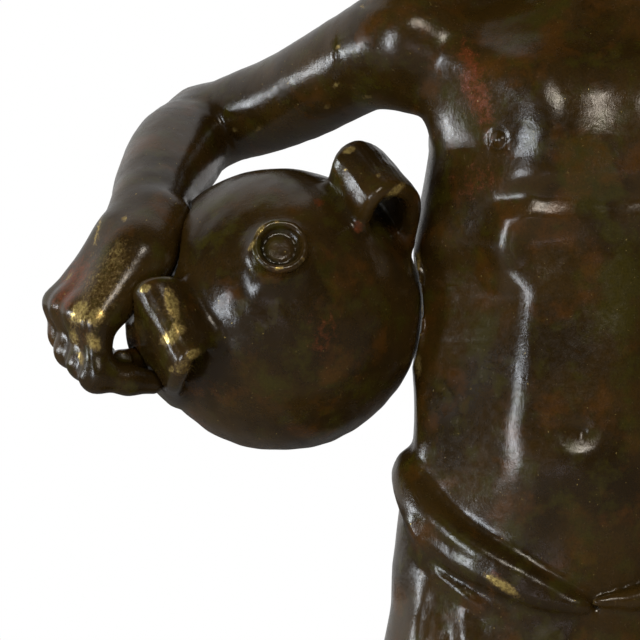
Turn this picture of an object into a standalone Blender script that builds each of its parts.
"""Bronze statue of a young water carrier with a round two-handled jug at the right hip, on a low round base.

The figure and the jug are built up as a sculptor builds up clay: simple masses are blended into one another
in a block of signed distances, the skin is pressed and raised along strokes, and Blender's OpenVDB makes the
mesh of it. The base is a turned profile. The clay is drawn in millimetres above the soles, with x to the
viewer's right, y away from the viewer and z up, and it is scaled to the height that the statue should have.
Objects are in metres.
"""

import math

import bpy
import numpy as np
import openvdb

# Driving sizes, in metres
FIGURE_HEIGHT = 0.516
JUG_RADIUS = 0.0338
JUG_NECK_RADIUS = 0.0070
JUG_NECK_HEIGHT = 0.0072
JUG_STRAP_THICKNESS = 0.0042
BASE_RADIUS = 0.082
BASE_HEIGHT = 0.024
BASE_BEAD = 0.004
JOINT_GAP = 0.0007
SEAT_GAP = 0.0003

# The way the jug's neck points above level
JUG_TILT = math.radians(22)

# Fineness of the meshes
CLAY_STEP = 1.3
FIGURE_TRIANGLES = 6900
JUG_TRIANGLES = 1750
BASE_SEGMENTS = 48

# The figure is drawn in millimetres at this height, in a block of clay with these low and high corners
DRAWN_HEIGHT = 516.0
MM = FIGURE_HEIGHT / DRAWN_HEIGHT
FIGURE_BLOCK = ((-137, -66, -4), (82, 78, 526))
JUG_BLOCK = ((-125, -66, 295), (-20, 45, 395))
FAR = 4.0

BRONZE_BROWN = (0.062, 0.034, 0.018)
BASE_BROWN = (0.045, 0.03, 0.02)

# Joints of the figure
MIDDLE = 2.0
SHOULDER_R = (-41, 2, 405.5)
ELBOW_R = (-91.5, 51, 384)
WRIST_R = (-106.5, -16, 354)
SHOULDER_L = (46, 5, 401)
ELBOW_L = (60, 15, 322)
WRIST_L = (61, -4, 255)
HIP_R = (-24, 3, 255)
KNEE_R = (-23, 0, 146)
ANKLE_R = (-20, 13, 27)
HIP_L = (20, 3, 255)
KNEE_L = (29, -9, 147)
ANKLE_L = (34, 4, 27)
NECK = (5, 9, 412)
HEAD = (4, 5, 471)
HEAD_HEIGHT = 80.0
HEAD_YAW = math.radians(-14)
HEAD_NOD = math.radians(7)
JUG_CENTRE = (-73, -2, 339.4)

# How square the trunk's sections are (2 would be an oval), and the sections: height, centre across, centre
# in depth, half width, depth in front and depth behind
ROUNDNESS = 2.35
TRUNK = [
    (238, -3, 3, 34, 22, 26),
    (252, -3, 3, 40.2, 25, 29),
    (268, -3, 3, 41.6, 26.8, 30),
    (284, -3.2, 1, 40.5, 26, 26),
    (300, -3, -1, 38.9, 26.7, 23),
    (315, -2.4, -1, 38.7, 26.7, 22.5),
    (330, -1.5, 0, 40, 26.9, 24),
    (345, -0.2, 2, 41.4, 27.9, 27),
    (360, 1.2, 3.5, 41.6, 29, 29),
    (375, 2.6, 4.5, 40.4, 30, 30.5),
    (388, 3.4, 5.5, 38.8, 30, 30),
    (399, 4, 6.5, 37, 26.5, 26),
    (408, 4.4, 7.5, 30, 21, 21),
    (417, 4.8, 8, 18, 15, 16),
]

# The flanks and the outer sides of the breast are nearly flat: height, how far out that begins, how far it
# turns from the front there in degrees, and how softly. Above FLANK_TOP the flat fades out
FLANK = [
    (238, 19, 30, 12), (262, 16, 30, 12), (285, 13, 34, 8), (300, 12, 36, 3), (312, 13.6, 36, 1.6),
    (343, 12.2, 36, 1.6), (349, 14.5, 36, 2), (354, 18.8, 36, 2.5), (360, 21.5, 36, 3.5), (372, 21.5, 38, 4),
    (384, 22, 38, 5), (404, 25, 36, 8), (428, 25, 36, 8),
]
FLANK_TOP = 385
FLANK_FADE = 0.027

# The rolled waistband: the angle round the body, from the front by the figure's right hip, its height and
# its radius
WAISTBAND = [
    (-3, 268.6, 1.4), (6, 269.3, 2.2), (18, 272.4, 2.8), (30, 276.3, 3.1), (45, 281, 3.3), (58, 286.4, 3.6),
    (75, 294.5, 4.2), (90, 300, 4.7), (110, 300.5, 4.7), (140, 298, 4.5), (180, 296, 4.4), (230, 291, 4.2),
    (280, 282, 4), (320, 274, 3.6), (338, 270.6, 2.9), (347, 269.9, 1.9), (353, 269.8, 0.9),
]

# The upper fold of the waistband, in the same way
WAIST_FOLD = [
    (88, 303, 2.6), (70, 296.2, 3), (54, 289.6, 3.1), (34, 282.2, 2.9), (19, 276.8, 2.4), (6, 271.8, 1.6),
    (-1, 269.6, 1),
]

# The two edges of each strap of the jug, from the neck outwards and down, in shares of the jug's radius
HANDLE_LOW = [
    ((-0.489, -0.830, -0.177), (-0.681, -0.700, 0.135)),
    ((-0.582, -1.000, -0.262), (-0.801, -0.860, 0.170)),
    ((-0.667, -1.090, -0.326), (-0.936, -0.850, 0.142)),
    ((-0.709, -1.000, -0.433), (-1.021, -0.660, 0.035)),
    ((-0.745, -0.780, -0.518), (-1.035, -0.450, -0.163)),
    ((-0.759, -0.420, -0.582), (-0.979, -0.220, -0.362)),
    ((-0.758, -0.140, -0.610), (-0.880, -0.060, -0.495)),
]
HANDLE_HIGH = [
    ((0.547, -0.562, 0.574), (0.376, -0.340, 0.828)),
    ((0.651, -0.725, 0.787), (0.444, -0.518, 1.059)),
    ((0.775, -0.680, 0.858), (0.568, -0.355, 1.130)),
    ((0.911, -0.503, 0.811), (0.700, -0.100, 1.060)),
    ((0.925, -0.325, 0.683), (0.690, 0.110, 0.900)),
    ((0.888, -0.118, 0.485), (0.660, 0.250, 0.700)),
]


def vec(*values):
    return np.array(values, np.float32)


def curve(rows, spans=6):
    """Rows of numbers on a smooth curve through the given rows."""
    rows = np.array(rows, float)
    rows = np.vstack([2 * rows[0] - rows[1], rows, 2 * rows[-1] - rows[-2]])
    t = np.linspace(0, 1, spans, endpoint=False)[:, None]
    out = []
    for a, b, c, d in zip(rows, rows[1:], rows[2:], rows[3:]):
        bend, twist = a - 2.5 * b + 2 * c - d / 2, 1.5 * (b - c) + (d - a) / 2
        out.append(b + (c - a) * t / 2 + bend * t**2 + twist * t**3)
    return np.vstack(out + [rows[-2:-1]])


def smooth_min(a, b, blend):
    """The lesser of two distances, with the crease between them filled over a width of blend."""
    if blend <= 0:
        return np.minimum(a, b)
    near = np.maximum(blend - np.abs(a - b), 0) / blend
    return np.minimum(a, b) - near * near * blend / 4


def stations(columns):
    """A finely stepped copy of the trunk's sections, one row for each column asked for."""
    rows = curve(TRUNK)
    return [rows[:, 0]] + [rows[:, i] for i in columns]


def trunk_section(z):
    """The trunk's centre across and in depth, half width, depth in front and depth behind at a height."""
    heights, *columns = stations(range(1, 6))
    return [np.interp(z, heights, column) for column in columns]


def trunk_point(angle, z, out=0.0):
    """A point on the trunk. angle is 0 at the front, 90 at the figure's right side and 180 behind."""
    centre_x, centre_y, half, front, back = trunk_section(z)
    a = math.radians(angle)
    depth = front if math.cos(a) > 0 else back
    return (centre_x - (half + out) * math.sin(a), centre_y - (depth + out) * math.cos(a), z)


def triangle_gap(x, y, z, corners):
    """The square of the distance from each point of a grid to a triangle."""
    a, b, c = corners
    normal = np.cross(b - a, c - a)
    normal /= np.linalg.norm(normal) + 1e-9
    over = ((x - a[0]) * normal[0] + (y - a[1]) * normal[1] + (z - a[2]) * normal[2]) ** 2
    inside = True
    beside = None
    for p, q in ((a, b), (b, c), (c, a)):
        along = q - p
        out = np.cross(along, normal)
        px, py, pz = x - p[0], y - p[1], z - p[2]
        inside = inside & (px * out[0] + py * out[1] + pz * out[2] < 0)
        t = np.clip((px * along[0] + py * along[1] + pz * along[2]) / (along @ along + 1e-9), 0, 1)
        gap = (px - t * along[0]) ** 2 + (py - t * along[1]) ** 2 + (pz - t * along[2]) ** 2
        beside = gap if beside is None else np.minimum(beside, gap)
    return np.where(inside, over, beside)


class Clay:
    """A block of clay: the distance to the skin at each point of a grid, below zero inside."""

    def __init__(self, axes):
        self.axes = [np.asarray(axis, np.float32) for axis in axes]
        self.value = np.full([len(axis) for axis in self.axes], FAR, np.float32)

    def window(self, low, high):
        """The part of the grid between two corners, with its x, y and z shaped for broadcasting."""
        part = []
        for axis, lo, hi in zip(self.axes, low, high):
            first, last = np.searchsorted(axis, [lo, hi])
            part.append(slice(first, last))
        x, y, z = (axis[s] for axis, s in zip(self.axes, part))
        return tuple(part), x[:, None, None], y[None, :, None], z[None, None, :]

    def add(self, low, high, distance, blend):
        """Adds the form that distance(x, y, z) describes, blended into what is there."""
        margin = blend + FAR
        part, x, y, z = self.window(np.subtract(low, margin), np.add(high, margin))
        if self.value[part].size:
            self.value[part] = smooth_min(self.value[part], distance(x, y, z), blend)

    def ball(self, centre, radii, blend=2.0, turn=None):
        """An ellipsoid. The rows of turn are the directions of its own axes."""
        centre, radii = vec(*centre), vec(*radii)
        turn = np.eye(3, dtype=np.float32) if turn is None else np.asarray(turn, np.float32)
        reach = np.sqrt(((turn.T * radii) ** 2).sum(1))

        def distance(x, y, z):
            near = far = 0
            x, y, z = x - centre[0], y - centre[1], z - centre[2]
            for row, radius in zip(turn, radii):
                along = (x * row[0] + y * row[1] + z * row[2]) / radius
                near = near + along**2
                far = far + (along / radius) ** 2
            near = np.sqrt(near)
            return near * (near - 1) / np.sqrt(far + 1e-9)

        self.add(centre - reach, centre + reach, distance, blend)

    def limb(self, points, radii, blend=2.0, spans=4):
        """A round bar along a smooth curve."""
        rows = curve([(*p, r) for p, r in zip(points, radii)], spans).astype(np.float32)

        def distance(x, y, z):
            best = None
            for a, b in zip(rows, rows[1:]):
                along = b - a
                length2 = float(along[:3] @ along[:3]) + 1e-9
                dx, dy, dz = x - a[0], y - a[1], z - a[2]
                t = np.clip((dx * along[0] + dy * along[1] + dz * along[2]) / length2, 0, 1)
                dx, dy, dz = dx - t * along[0], dy - t * along[1], dz - t * along[2]
                gap = np.sqrt(dx * dx + dy * dy + dz * dz) - (a[3] + t * along[3])
                best = gap if best is None else np.minimum(best, gap)
            return best

        thick = rows[:, 3].max()
        self.add(rows[:, :3].min(0) - thick, rows[:, :3].max(0) + thick, distance, blend)

    def disc(self, centre, axis, radius, half, rounding=1.0, blend=1.0):
        """A flat round plate with rounded edges."""
        centre, axis = vec(*centre), vec(*axis)
        reach = radius + half

        def distance(x, y, z):
            x, y, z = x - centre[0], y - centre[1], z - centre[2]
            along = x * axis[0] + y * axis[1] + z * axis[2]
            across = np.sqrt(np.maximum(x * x + y * y + z * z - along**2, 0)) - radius + rounding
            along = np.abs(along) - half + rounding
            outside = np.sqrt(np.maximum(across, 0) ** 2 + np.maximum(along, 0) ** 2)
            return outside + np.minimum(np.maximum(across, along), 0) - rounding

        self.add(centre - reach, centre + reach, distance, blend)

    def sheet(self, edges, thickness, blend):
        """A plate of even thickness between two smooth edges, which are given together as pairs of points."""
        near, far = (curve([pair[i] for pair in edges], 4).astype(np.float32) for i in (0, 1))
        pieces = []
        for a, b, c, d in zip(near, near[1:], far, far[1:]):
            pieces += [(a, b, d), (a, d, c)]

        def distance(x, y, z):
            best = None
            for corners in pieces:
                gap = triangle_gap(x, y, z, corners)
                best = gap if best is None else np.minimum(best, gap)
            return np.sqrt(best) - thickness / 2

        ends = np.vstack([near, far])
        self.add(ends.min(0) - thickness, ends.max(0) + thickness, distance, blend)

    def stroke(self, path, width, height, reach=None, axis=None):
        """Raises the skin along a path by height, or presses it in where height is below zero.

        height is one number, or one for each point of the path. With axis, the path is a drawing seen along
        that axis (0, 1 or 2), and reach is the range it acts on.
        """
        path = [vec(*p) for p in path]
        if len(path) == 1:
            path = path * 2
        heights = np.broadcast_to(height, len(path))
        low, high = np.min(path, 0) - width, np.max(path, 0) + width
        if axis is not None:
            low[axis], high[axis] = reach
        part, *grid = self.window(low, high)
        if not self.value[part].size:
            return
        used = [i for i in range(3) if i != axis]
        nearest = rise = None
        for a, b, start, end in zip(path, path[1:], heights, heights[1:]):
            along = b - a
            length2 = float(sum(along[i] ** 2 for i in used)) + 1e-9
            t = np.clip(sum((grid[i] - a[i]) * along[i] for i in used) / length2, 0, 1)
            gap = sum((grid[i] - a[i] - t * along[i]) ** 2 for i in used)
            level = start + (end - start) * t
            if nearest is None:
                nearest, rise = gap, level
            else:
                rise = np.where(gap < nearest, level, rise)
                nearest = np.minimum(gap, nearest)
        fade = np.maximum(1 - nearest / width**2, 0) ** 2
        self.value[part] = self.value[part] - (rise * fade).astype(np.float32)

    def mesh(self, name):
        """The skin of the clay as a mesh, in metres, standing on the base."""
        grid = openvdb.FloatGrid()
        grid.background = FAR
        grid.copyFromArray(np.clip(self.value, -FAR, FAR))
        points, triangles, quads = grid.convertToPolygons(isovalue=0.0, adaptivity=0.0)
        places = [np.interp(points[:, i], np.arange(len(axis)), axis) for i, axis in enumerate(self.axes)]
        places = np.stack(places, 1) * MM + (0, 0, BASE_HEIGHT + SEAT_GAP)
        mesh = bpy.data.meshes.new(name)
        mesh.from_pydata(places.tolist(), [], triangles.tolist() + quads.tolist())
        mesh.update()
        return mesh


def side_by_side(points, middle=MIDDLE):
    """The points, and the same points mirrored in the middle of the body."""
    return points, [(2 * middle - x, y, z) for x, y, z in points]


def make_trunk(clay):
    heights, *columns = stations(range(1, 6))
    power = ROUNDNESS

    def distance(x, y, z):
        centre_x, centre_y, half, front, back = (
            np.interp(z, heights, column).astype(np.float32) for column in columns)
        depth = np.where(y < centre_y, front, back)
        out, deep = np.abs(x - centre_x), np.abs(y - centre_y)
        px, py = out / half, deep / depth
        norm = np.maximum((px**power + py**power) ** (1 / power), 0.3)
        slope = np.hypot(px ** (power - 1) / half, py ** (power - 1) / depth) * norm ** (1 - power)
        ends = np.maximum(heights[0] - z, z - heights[-1])
        return np.maximum((norm - 1) / np.maximum(slope, 0.02), ends)

    clay.add((-50, -35, heights[0]), (50, 40, heights[-1]), distance, 0)

    # Breast, collar bones, shoulder blades and the cords of the neck
    for points in side_by_side([(-10, -16.8, 381.5)], 3.2):
        clay.ball(points[0], (19, 9.4, 16), 9)
    for points in side_by_side([(-24, 2, 402)], 4.6):
        clay.ball(points[0], (18, 10, 9), 9)
    clay.limb([(0, -5, 420), (-6, -6, 423), (-17, -3, 424), (-29, 0, 419), (-39, 3, 410)],
              (2.6, 2.6, 3, 4.4, 6), 5)
    clay.limb([(9.7, -5, 418), (18, -6, 420), (30, -3, 416), (42, 3, 407)], (2.6, 2.8, 4, 6), 5)
    for points in side_by_side([(-22, 28, 380)], 3):
        clay.ball(points[0], (15, 7.2, 19), 7)
    for points in side_by_side([(-3, 16, 432), (-18, 12, 416), (-37, 7, 408)], 4.6):
        clay.limb(points, (10, 9.5, 8.5), 7)
    # The breast muscle and the broad muscle of the back run out to the raised arm
    clay.limb([(-14, -13, 389), (-30, -8, 393), (-44, 2, 399)], (8, 8.5, 8.5), 12)
    clay.limb([(-28, 18, 372), (-31, 16, 387), (-42, 12, 400)], (6.5, 6.5, 7), 7)
    clay.limb([(19, -13, 387), (34, -7, 390), (43, 2, 394)], (8, 8.5, 8.5), 12)
    clay.limb([(33, 19, 362), (39, 17, 380), (44, 12, 392)], (8, 8.5, 8.5), 7)


def cut_flanks(clay):
    heights, *columns = stations(range(1, 5))
    part, x, y, z = clay.window((-60, -45, FLANK[0][0]), (64, 10, FLANK[-1][0]))
    centre_x, centre_y, half, front = (np.interp(z, heights, c).astype(np.float32) for c in columns)
    levels, *rows = zip(*FLANK)
    edge, turn, soft = (np.interp(z, levels, row).astype(np.float32) for row in rows)
    turn = np.radians(turn)
    start = centre_y - front * (1 - np.minimum(edge / half, 1) ** ROUNDNESS) ** (1 / ROUNDNESS) - soft / 3
    leave = FLANK_FADE * np.maximum(z - FLANK_TOP, 0) ** 2
    flank = (np.abs(x - centre_x) - edge) * np.sin(turn) - (y - start) * np.cos(turn) - leave
    body = clay.value[part]
    near = np.maximum(soft - np.abs(body - flank), 0) / soft
    clay.value[part] = np.maximum(body, flank) + near * near * soft / 4


def carve_trunk(clay):
    cut_flanks(clay)
    front, back = (-45, 1), (5, 60)
    # The arch of the ribs, the lower edge of the breast, and the hollows between and inside them
    arch = [(-2, 0, 361.2), (-8, 0, 361.8), (-14, 0, 361.8), (-18.6, 0, 360), (-20.8, 0, 355),
            (-20.6, 0, 349), (-18, 0, 342)]
    for ribs in side_by_side(arch, 2.6):
        clay.stroke(ribs, 6.5, (0.2, 0.9, 1.5, 1.7, 1.5, 0.9, 0), front, 1)
    for edge in side_by_side([(0, 0, 370.4), (-9, 0, 370.4), (-17, 0, 370.6), (-23, 0, 372)], 2.6):
        clay.stroke(edge, 6, (0, 0.6, 0.6, 0), front, 1)
    for hollow in side_by_side([(0, 0, 366), (-8, 0, 366.2), (-15, 0, 366.2), (-22, 0, 364)], 2.6):
        clay.stroke(hollow, 5.5, (-0.4, -0.8, -0.7, 0), front, 1)
    for hollow in side_by_side([(-5, 0, 355), (-11, 0, 353), (-14, 0, 346)], 2.0):
        clay.stroke(hollow, 7, (-0.2, -0.8, 0), front, 1)
    # The breast bone, the middle line of the belly, and the navel in its soft swelling
    clay.stroke([(3.6, 0, 401), (3.4, 0, 388), (3, 0, 372)], 12, (0, -1.1, 0), front, 1)
    clay.stroke([(2, 0, 360), (0, 0, 340), (-2, 0, 318)], 9, (0, -0.8, 0), front, 1)
    clay.stroke([(-2.4, 0, 302)], 13, 1.0, front, 1)
    clay.stroke([(-1.9, 0, 309.6)], 5.5, -0.8, front, 1)
    # The neck pit, and the furrow of the spine
    clay.stroke([(4.8, 0, 419), (4.8, 0, 415)], 9, -1.6, front, 1)
    spine = [(4.6, 0, 405), (3.5, 0, 375), (0, 0, 340), (-2.6, 0, 312), (-3, 0, 292)]
    clay.stroke(spine, 11, (-1.2, -2.6, -2.8, -2.6, -0.4), back, 1)


def make_finger(clay, joints, thick, blend=0.7):
    """Three tapering joints with a slight knuckle at each."""
    radii = (thick, thick * 0.92, thick * 0.85, thick * 0.74)
    for i in range(3):
        clay.limb(joints[i : i + 2], radii[i : i + 2], blend, spans=1)
    clay.ball(joints[1], (radii[1] * 1.04,) * 3, blend)


def make_right_arm(clay):
    clay.ball((-43, 4, 402.5), (13.5, 13.5, 13), 5)
    clay.limb(
        [SHOULDER_R, (-55, 14, 398.8), (-69, 29, 391.4), (-81, 41, 387), ELBOW_R],
        (12.6, 12.2, 11.4, 10.6, 9.6), 4.5)
    clay.limb(
        [ELBOW_R, (-98, 34, 377.5), (-102, 16, 370), (-104.8, 0, 362), WRIST_R],
        (9.4, 11.4, 10.7, 9.6, 8.2), 3.5)
    clay.ball((-93.5, 57, 386), (6.5, 6, 6.5), 4)
    # Back of the hand: bars from both sides of the wrist to the knuckles
    little_side, thumb_side = (-111, -11, 356.5), (-105.2, -20, 351.5)
    clay.limb([(-104, 2, 364), little_side], (7.4, 5.8), 4, spans=1)
    clay.limb([(-101.5, -8, 360), thumb_side], (7.4, 5.6), 4, spans=1)
    knuckles = [(-116.8, -26.5, 336), (-120.3, -21.5, 338.6), (-123.6, -15.5, 340.2), (-125.8, -9.5, 341)]
    for i, (knuckle, thick) in enumerate(zip(knuckles, (4.3, 4.1, 4, 3.8))):
        start = vec(*thumb_side) + (vec(*little_side) - vec(*thumb_side)) * i / 3
        clay.limb([start, knuckle], (5.8, thick), 4, spans=1)
    bends = [
        [(-116.6, -26.2, 324), (-109.5, -24.8, 322.7), (-103.6, -22.5, 322)],
        [(-119.6, -21, 327), (-114, -17, 324.6), (-109, -15, 325.6)],
        [(-122.9, -15.4, 329.8), (-117, -11.5, 326.4), (-112, -10, 326.8)],
        [(-124.6, -9.6, 333.4), (-119.5, -6, 329.5), (-115, -5.5, 328.6)],
    ]
    for knuckle, bend, thick in zip(knuckles, bends, (3.9, 3.9, 3.8, 3.4)):
        make_finger(clay, [knuckle] + bend, thick, 2.8)
    # The thumb reaches through the jug's handle from behind, and its tip lies on the bent first finger
    thumb = [(-104.5, -15, 349), (-101, -12.5, 338), (-103.4, -14.5, 327), (-111.2, -20.3, 326.8)]
    make_finger(clay, thumb, 4.2)
    clay.limb([(-108.5, -18, 350), (-114, -23, 341)], (6, 4), 6, spans=1)


def make_left_arm(clay):
    clay.ball((48, 5, 399), (13, 13.5, 14.5), 5)
    clay.limb(
        [SHOULDER_L, (52.5, 8, 380), (56, 12, 356), (59, 15, 334), ELBOW_L],
        (12.5, 12.3, 11.2, 9.6, 9), 6)
    clay.limb(
        [ELBOW_L, (62, 12, 308), (62.5, 7, 292), (62, 0, 272), WRIST_L],
        (9, 10.4, 9.6, 7.6, 6.6), 3.5)
    knuckles = [(57.5, -14.5, 234), (61.5, -11, 232.5), (64.2, -6.5, 232.5), (65.4, -1.5, 234)]
    for knuckle, thick in zip(knuckles, (4.3, 4.2, 4, 3.7)):
        clay.limb([WRIST_L, knuckle], (5.6, thick), 3, spans=1)
    bends = [
        [(55.5, -17.5, 222), (52.5, -16, 214.5), (49.5, -13.5, 209.5)],
        [(60, -14, 219), (57.5, -12.5, 210.5), (54.5, -10, 205)],
        [(63.5, -9, 219), (61.5, -7, 211), (58.5, -4.5, 206)],
        [(65.5, -2.5, 222.5), (64, -0.5, 216), (61.5, 1.5, 211.5)],
    ]
    for knuckle, bend, thick in zip(knuckles, bends, (3.6, 3.6, 3.4, 3)):
        make_finger(clay, [knuckle] + bend, thick)
    make_finger(clay, [(57, -8, 249), (50.5, -14.5, 239), (48.5, -18, 229.5), (49, -19.5, 222.5)], 4)


def make_leg(clay, hip, knee, ankle, turn):
    """A leg from the hip to the foot. turn is how far the toes point to the viewer's right."""
    hip, knee, ankle = (vec(*p) for p in (hip, knee, ankle))
    side = -1 if hip[0] < 0 else 1
    forward = vec(math.sin(turn), -math.cos(turn), 0)
    outward = vec(math.cos(turn), math.sin(turn), 0) * side

    def on_thigh(t, out=0.0, front=0.0):
        return hip + (knee - hip) * t + outward * out + forward * front

    def on_shin(t, out=0.0, front=0.0):
        return knee + (ankle - knee) * t + outward * out + forward * front

    clay.limb(
        [on_thigh(0), on_thigh(0.35, 0, 1), on_thigh(0.72, -0.5, 1), knee],
        (22.4, 21.8, 17.8, 14.4), 8)
    clay.ball(on_thigh(0.42, 3, 6), (14, 14, 34), 7)
    clay.ball(on_thigh(0.88, -8, 2), (7, 8, 12), 5)
    clay.ball(knee + forward * 8, (8.4, 6, 10), 4)
    clay.limb([knee, on_shin(0.26, 0, -4), on_shin(0.6, 0, -2), ankle], (13.2, 14.2, 10.4, 7.4), 6)
    clay.ball(on_shin(0.28, -5, -9), (9, 9.5, 20), 5)
    clay.ball(on_shin(0.24, 6.5, -7), (7.5, 8, 19), 5)
    clay.limb([on_shin(0.08, -1, 10), on_shin(0.5, -1.5, 6), on_shin(0.93, -1, 3)], (3.5, 3.5, 3), 5)
    for across, low in ((9, 1.5), (-8.4, -1)):
        clay.ball(ankle + outward * across * 0.75 - vec(0, 0, low), (4, 4.5, 5), 3)
    # Heel, instep, sole and toes
    heel = vec(ankle[0], ankle[1], 0) - forward * 8
    clay.limb([ankle - forward * 3, heel + vec(0, 0, 9)], (7.2, 9), 5, spans=1)
    ball = heel + forward * 52
    clay.limb([ankle + forward * 2, heel + forward * 30 + vec(0, 0, 13) - outward * 1.5,
               ball + vec(0, 0, 6) - outward * 2], (8, 8.6, 6.6), 6)
    clay.limb([heel + vec(0, 0, 6), ball + outward * 7 + vec(0, 0, 4.5)], (7.5, 6), 5, spans=1)
    for i in range(5):
        across = -9.2 + 4.9 * i + (0.8 if i else 0)
        root = ball + outward * across + vec(0, 0, 6 - 0.5 * i) - forward * (2.6 * i if i > 1 else 0)
        long = 15.5 - 1.9 * i
        thick = 4.4 if i == 0 else 3.3 - 0.12 * i
        middle = root + forward * long * 0.55 + vec(0, 0, 0.4)
        tip = root + forward * long + vec(0, 0, thick * 0.9 - root[2])
        clay.limb([root, middle, tip], (thick * 1.1, thick * 0.95, thick * 0.9), 1.0, spans=2)


def head_frame():
    """The directions of the head: to the viewer's right, away from the face, and up."""
    cy, sy, cn, sn = math.cos(HEAD_YAW), math.sin(HEAD_YAW), math.cos(HEAD_NOD), math.sin(HEAD_NOD)
    right = vec(cy, sy, 0)
    away = vec(-sy * cn, cy * cn, sn)
    return np.stack([right, away, np.cross(right, away)])


def on_head(x, y, z):
    """A place on the head, in shares of its height from its middle. y is away from the face."""
    return vec(*HEAD) + HEAD_HEIGHT * (vec(x, y, z) @ head_frame())


def make_head(clay):
    h, turn = HEAD_HEIGHT, head_frame()

    def ball(place, radii, blend):
        clay.ball(on_head(*place), vec(*radii) * h, blend * h, turn)

    def bar(places, radii, blend):
        clay.limb([on_head(*p) for p in places], vec(*radii) * h, blend * h)

    clay.limb([NECK, (5, 10, 428), on_head(0, 0.12, -0.18)], (16.5, 14.4, 14.6), 7)
    ball((0, 0.05, 0.13), (0.325, 0.39, 0.345), 0.05)
    ball((0, -0.1, 0.13), (0.275, 0.285, 0.25), 0.08)
    ball((0, -0.1, -0.11), (0.248, 0.282, 0.29), 0.1)
    ball((0, -0.335, -0.395), (0.07, 0.06, 0.055), 0.06)
    ball((0, -0.29, -0.255), (0.115, 0.1, 0.09), 0.07)
    bar([(0, -0.375, 0.03), (0, -0.408, -0.05), (0, -0.45, -0.13)], (0.022, 0.025, 0.034), 0.03)
    for side in (-1, 1):
        bar([(0.215 * side, 0.03, -0.17), (0.155 * side, -0.15, -0.31), (0.03 * side, -0.29, -0.4)],
            (0.045, 0.05, 0.05), 0.09)
        ball((0.175 * side, -0.215, -0.075), (0.075, 0.09, 0.065), 0.08)
        socket = [on_head(0.085 * side, -0.39, 0.0), on_head(0.15 * side, -0.37, 0.0)]
        clay.stroke(socket, 0.08 * h, -0.038 * h)
        ball((0.12 * side, -0.318, -0.002), (0.058, 0.055, 0.048), 0.006)
        bar([(0.05 * side, -0.37, 0.062), (0.12 * side, -0.365, 0.08), (0.2 * side, -0.295, 0.05)],
            (0.022, 0.022, 0.022), 0.05)
        ball((0.312 * side, 0.05, -0.05), (0.032, 0.068, 0.105), 0.02)
        ball((0.042 * side, -0.405, -0.145), (0.024, 0.035, 0.024), 0.02)
    bar([(-0.08, -0.37, -0.255), (-0.028, -0.398, -0.24), (0.028, -0.398, -0.24), (0.08, -0.37, -0.255)],
        (0.01, 0.018, 0.018, 0.01), 0.02)
    bar([(-0.066, -0.37, -0.275), (0, -0.396, -0.288), (0.066, -0.37, -0.275)], (0.01, 0.022, 0.01), 0.02)


def make_hair(clay):
    """Short curls: round tufts spread evenly over the crown, down to a hairline."""
    count, golden = 260, math.pi * (3 - math.sqrt(5))
    for i in range(count):
        up = 1 - 1.9 * (i + 0.5) / count
        ring = math.sqrt(max(1 - up * up, 0))
        x, y = ring * math.cos(golden * i), ring * math.sin(golden * i)
        x, y, z = 0.33 * x, 0.03 + 0.415 * y, 0.14 + 0.35 * up
        if 0.57 * y + 0.8 * z > 0.03 and not (abs(y - 0.05) < 0.09 and z < 0.06):
            size = (0.052 + 0.01 * math.sin(5 * i)) * HEAD_HEIGHT
            clay.ball(on_head(x, y, z), (size, size, size), 0.015 * HEAD_HEIGHT)


def make_cloth(clay):
    """Short breeches that cling to the hips and thighs, rolled over at the waist and at the hems."""
    heights, *columns = stations(range(1, 6))
    angles, roll_heights, _ = curve(WAISTBAND, 3).T

    def distance(x, y, z):
        centre_x, centre_y, half, front, back = (
            np.interp(z, heights, column).astype(np.float32) for column in columns)
        depth = np.where(y < centre_y, front, back)
        norm = np.maximum(np.sqrt(((x - centre_x) / half) ** 2 + ((y - centre_y) / depth) ** 2), 0.3)
        angle = np.degrees(np.arctan2(-(x - centre_x), -(y - centre_y)))
        top = np.interp(angle, angles, roll_heights, period=360) - 2
        return np.maximum((norm - 1) * 30 - 1.4, np.maximum(z - top, 240 - z)).astype(np.float32)

    clay.add((-50, -38, 238), (50, 42, 312), distance, 2)
    for side, hip, knee in ((-1, HIP_R, KNEE_R), (1, HIP_L, KNEE_L)):
        hip, knee = vec(*hip), vec(*knee)
        clay.ball(hip + vec(2 * side * -1, 14, 6), (20, 19, 20), 7)
        leg = [hip + (knee - hip) * t + vec(0.3 * side, -0.5, 0) for t in (0.02, 0.2, 0.42)]
        clay.limb(leg, (22.2, 23.4, 23.1), 6)
        # The hem is a roll round the thigh
        ring = [leg[2] + vec(24 * math.sin(a), 23.4 * math.cos(a) - 0.5, 1.5 * math.cos(a) - 2)
                for a in np.linspace(0, 2 * math.pi, 15)]
        clay.limb(ring, [3.4] * len(ring), 1.8, spans=2)
    # The waistband goes round by the right hip to the front again, where its ends are tucked in
    for band, blend in ((WAIST_FOLD, 4), (WAISTBAND, 1.4)):
        rolled = curve(band, 3)
        path = [trunk_point(angle, height, 2.2 - 0.5 * radius) for angle, height, radius in rolled]
        clay.limb(path, rolled[:, 2], blend, spans=1)


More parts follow.
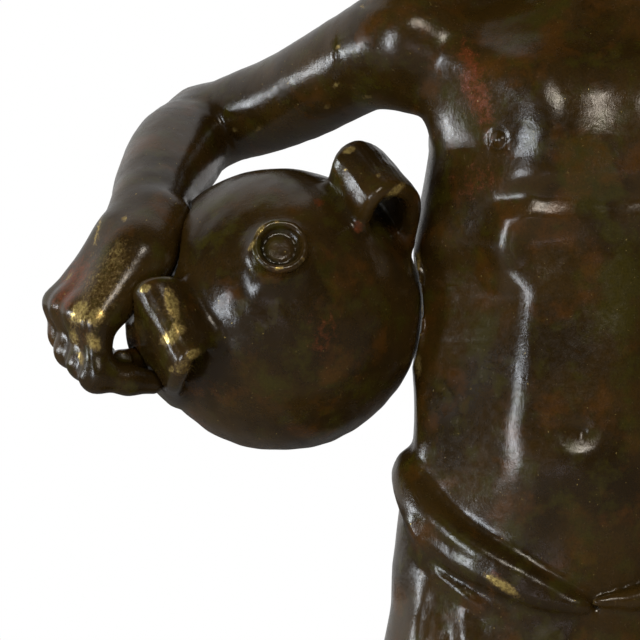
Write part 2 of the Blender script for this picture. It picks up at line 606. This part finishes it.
def carve_cloth(clay):
    """Creases that fan out from the right hip, and folds drawn up to the knot of the waistband in front."""
    front = (-45, 0)
    edge = [(-43, 0, 288), (-40.5, 0, 282), (-35.3, 0, 275.5), (-27.5, 0, 269.8), (-19, 0, 264.6)]
    clay.stroke(edge, 2.4, (0.3, 0.8, 0.9, 0.8, 0), front, 1)
    for x, z, end_x, end_z in ((-30.5, 271, -27, 252), (-34.5, 268, -36, 248), (-39, 274, -42, 250)):
        crease = [(x, 0, z), ((x + end_x) / 2 - 0.5, 0, (z + end_z) / 2), (end_x, 0, end_z)]
        clay.stroke(crease, 4, (0.3, 1, 0), front, 1)
    for x, z in ((-20, 234), (-11, 228), (12, 232), (24, 240)):
        clay.stroke([(1.5 + x * 0.25, 0, 264), (x * 0.7, 0, 250), (x, 0, z)], 4.5, (0.2, 1.1, 0.4), front, 1)


def make_jug(clay):
    centre = vec(*JUG_CENTRE)
    neck = vec(0, -math.cos(JUG_TILT), math.sin(JUG_TILT))
    radius, lip, rise, thick = (
        size / MM for size in (JUG_RADIUS, JUG_NECK_RADIUS, JUG_NECK_HEIGHT, JUG_STRAP_THICKNESS))
    clay.ball(centre, (radius,) * 3, 0)
    for handle in (HANDLE_LOW, HANDLE_HIGH):
        edges = [(centre + vec(*near) * radius, centre + vec(*far) * radius) for near, far in handle]
        clay.sheet(edges, thick, 3.5)
    body = rise + 1.2
    clay.disc(centre + neck * (radius - 3 + body / 2), neck, lip - 0.6, body / 2, 0.5, 6)
    side, up = vec(1, 0, 0), np.cross(neck, vec(-1, 0, 0))
    middle = centre + neck * (radius + rise - 1.1)
    ring = [middle + (side * math.cos(a) + up * math.sin(a)) * (lip - 1.1)
            for a in np.linspace(0, 2 * math.pi, 17)]
    clay.limb(ring, [1.1] * len(ring), 0.6, spans=2)


def make_braze(clay):
    """The seam of braze round the place where the jug touches the flank."""
    ring = [(-40.2, -3 + 6 * math.cos(a), 339.4 + 12.2 * math.sin(a))
            for a in np.linspace(0, 2 * math.pi, 13)]
    clay.limb(ring, [1.1] * len(ring), 1.2, spans=2)


def grid(low, high, step):
    return [np.arange(lo, hi, step) for lo, hi in zip(low, high)]


def model_figure(axes):
    clay = Clay(axes)
    make_trunk(clay)
    make_leg(clay, HIP_R, KNEE_R, ANKLE_R, math.radians(-14))
    make_leg(clay, HIP_L, KNEE_L, ANKLE_L, math.radians(22))
    make_head(clay)
    make_hair(clay)
    carve_trunk(clay)
    make_left_arm(clay)
    make_cloth(clay)
    carve_cloth(clay)
    make_braze(clay)
    jug = Clay(axes)
    make_jug(jug)
    clay.value = np.maximum(clay.value, JOINT_GAP / MM - jug.value)
    make_right_arm(clay)
    clay.value = np.maximum(clay.value, -clay.axes[2][None, None, :])
    return clay


def model_jug(axes):
    """The jug, hollowed where the arm and the hand lie against it."""
    clay = Clay(axes)
    make_jug(clay)
    clay.value = np.maximum(clay.value, JOINT_GAP / MM - model_figure(axes).value)
    return clay


def material(name, colour, roughness, metallic):
    made = bpy.data.materials.new(name)
    made.use_nodes = True
    shader = made.node_tree.nodes["Principled BSDF"]
    shader.inputs["Base Color"].default_value = (*colour, 1)
    shader.inputs["Roughness"].default_value = roughness
    shader.inputs["Metallic"].default_value = metallic
    made.diffuse_color = (*colour, 1)
    return made


def add_object(name, mesh, collection, finish):
    piece = bpy.data.objects.new(name, mesh)
    mesh.materials.append(finish)
    mesh.shade_smooth()
    collection.objects.link(piece)
    return piece


def thin_out(piece, triangles):
    """Collapses the mesh to about this many triangles."""
    there = sum(len(face.vertices) - 2 for face in piece.data.polygons)
    modifier = piece.modifiers.new("thin_out", "DECIMATE")
    modifier.ratio = min(triangles / there, 1)


def base_profile():
    """The outline of the turned base, from the middle of the top down its outer side to the middle below."""
    radius, height, bead = BASE_RADIUS, BASE_HEIGHT, BASE_BEAD
    neck = radius - 1.5 * bead
    points = [(0, height), (neck - bead, height)]
    points += [(neck - bead + bead * math.sin(a), height - bead + bead * math.cos(a))
               for a in np.linspace(0, math.pi / 2, 5)[1:]]
    low = 1.6 * bead
    cove = (height - bead - low) / 2
    points += [(neck + 0.35 * bead * (math.cos(a) - 1), height - bead + cove * (2 * math.cos(a / 2) ** 2 - 2))
               for a in np.linspace(0.6, 2 * math.pi - 0.6, 7)]
    points += [(radius - low / 2 + low / 2 * math.sin(a), low / 2 + low / 2 * math.cos(a))
               for a in np.linspace(0, math.pi, 7)]
    return points + [(0, 0)]


def make_base(collection, finish):
    mesh = bpy.data.meshes.new("base")
    points = [(x, 0, z) for x, z in base_profile()]
    mesh.from_pydata(points, [(i, i + 1) for i in range(len(points) - 1)], [])
    piece = add_object("base", mesh, collection, finish)
    screw = piece.modifiers.new("turned", "SCREW")
    screw.angle = 2 * math.pi
    screw.steps = screw.render_steps = BASE_SEGMENTS
    screw.use_merge_vertices = True
    screw.merge_threshold = 0.00001
    screw.use_smooth_shade = True


def main():
    for old in list(bpy.data.objects):
        bpy.data.objects.remove(old)
    collection = bpy.data.collections.new("water_carrier_statue")
    bpy.context.scene.collection.children.link(collection)

    figure = model_figure(grid(*FIGURE_BLOCK, CLAY_STEP))
    finish = material("figure_bronze", BRONZE_BROWN, 0.36, 0.85)
    thin_out(add_object("figure", figure.mesh("figure"), collection, finish), FIGURE_TRIANGLES)

    jug = model_jug(grid(*JUG_BLOCK, CLAY_STEP * 0.8))
    finish = material("jug_bronze", BRONZE_BROWN, 0.4, 0.85)
    thin_out(add_object("jug", jug.mesh("jug"), collection, finish), JUG_TRIANGLES)

    make_base(collection, material("base_bronze", BASE_BROWN, 0.42, 0.85))


main()
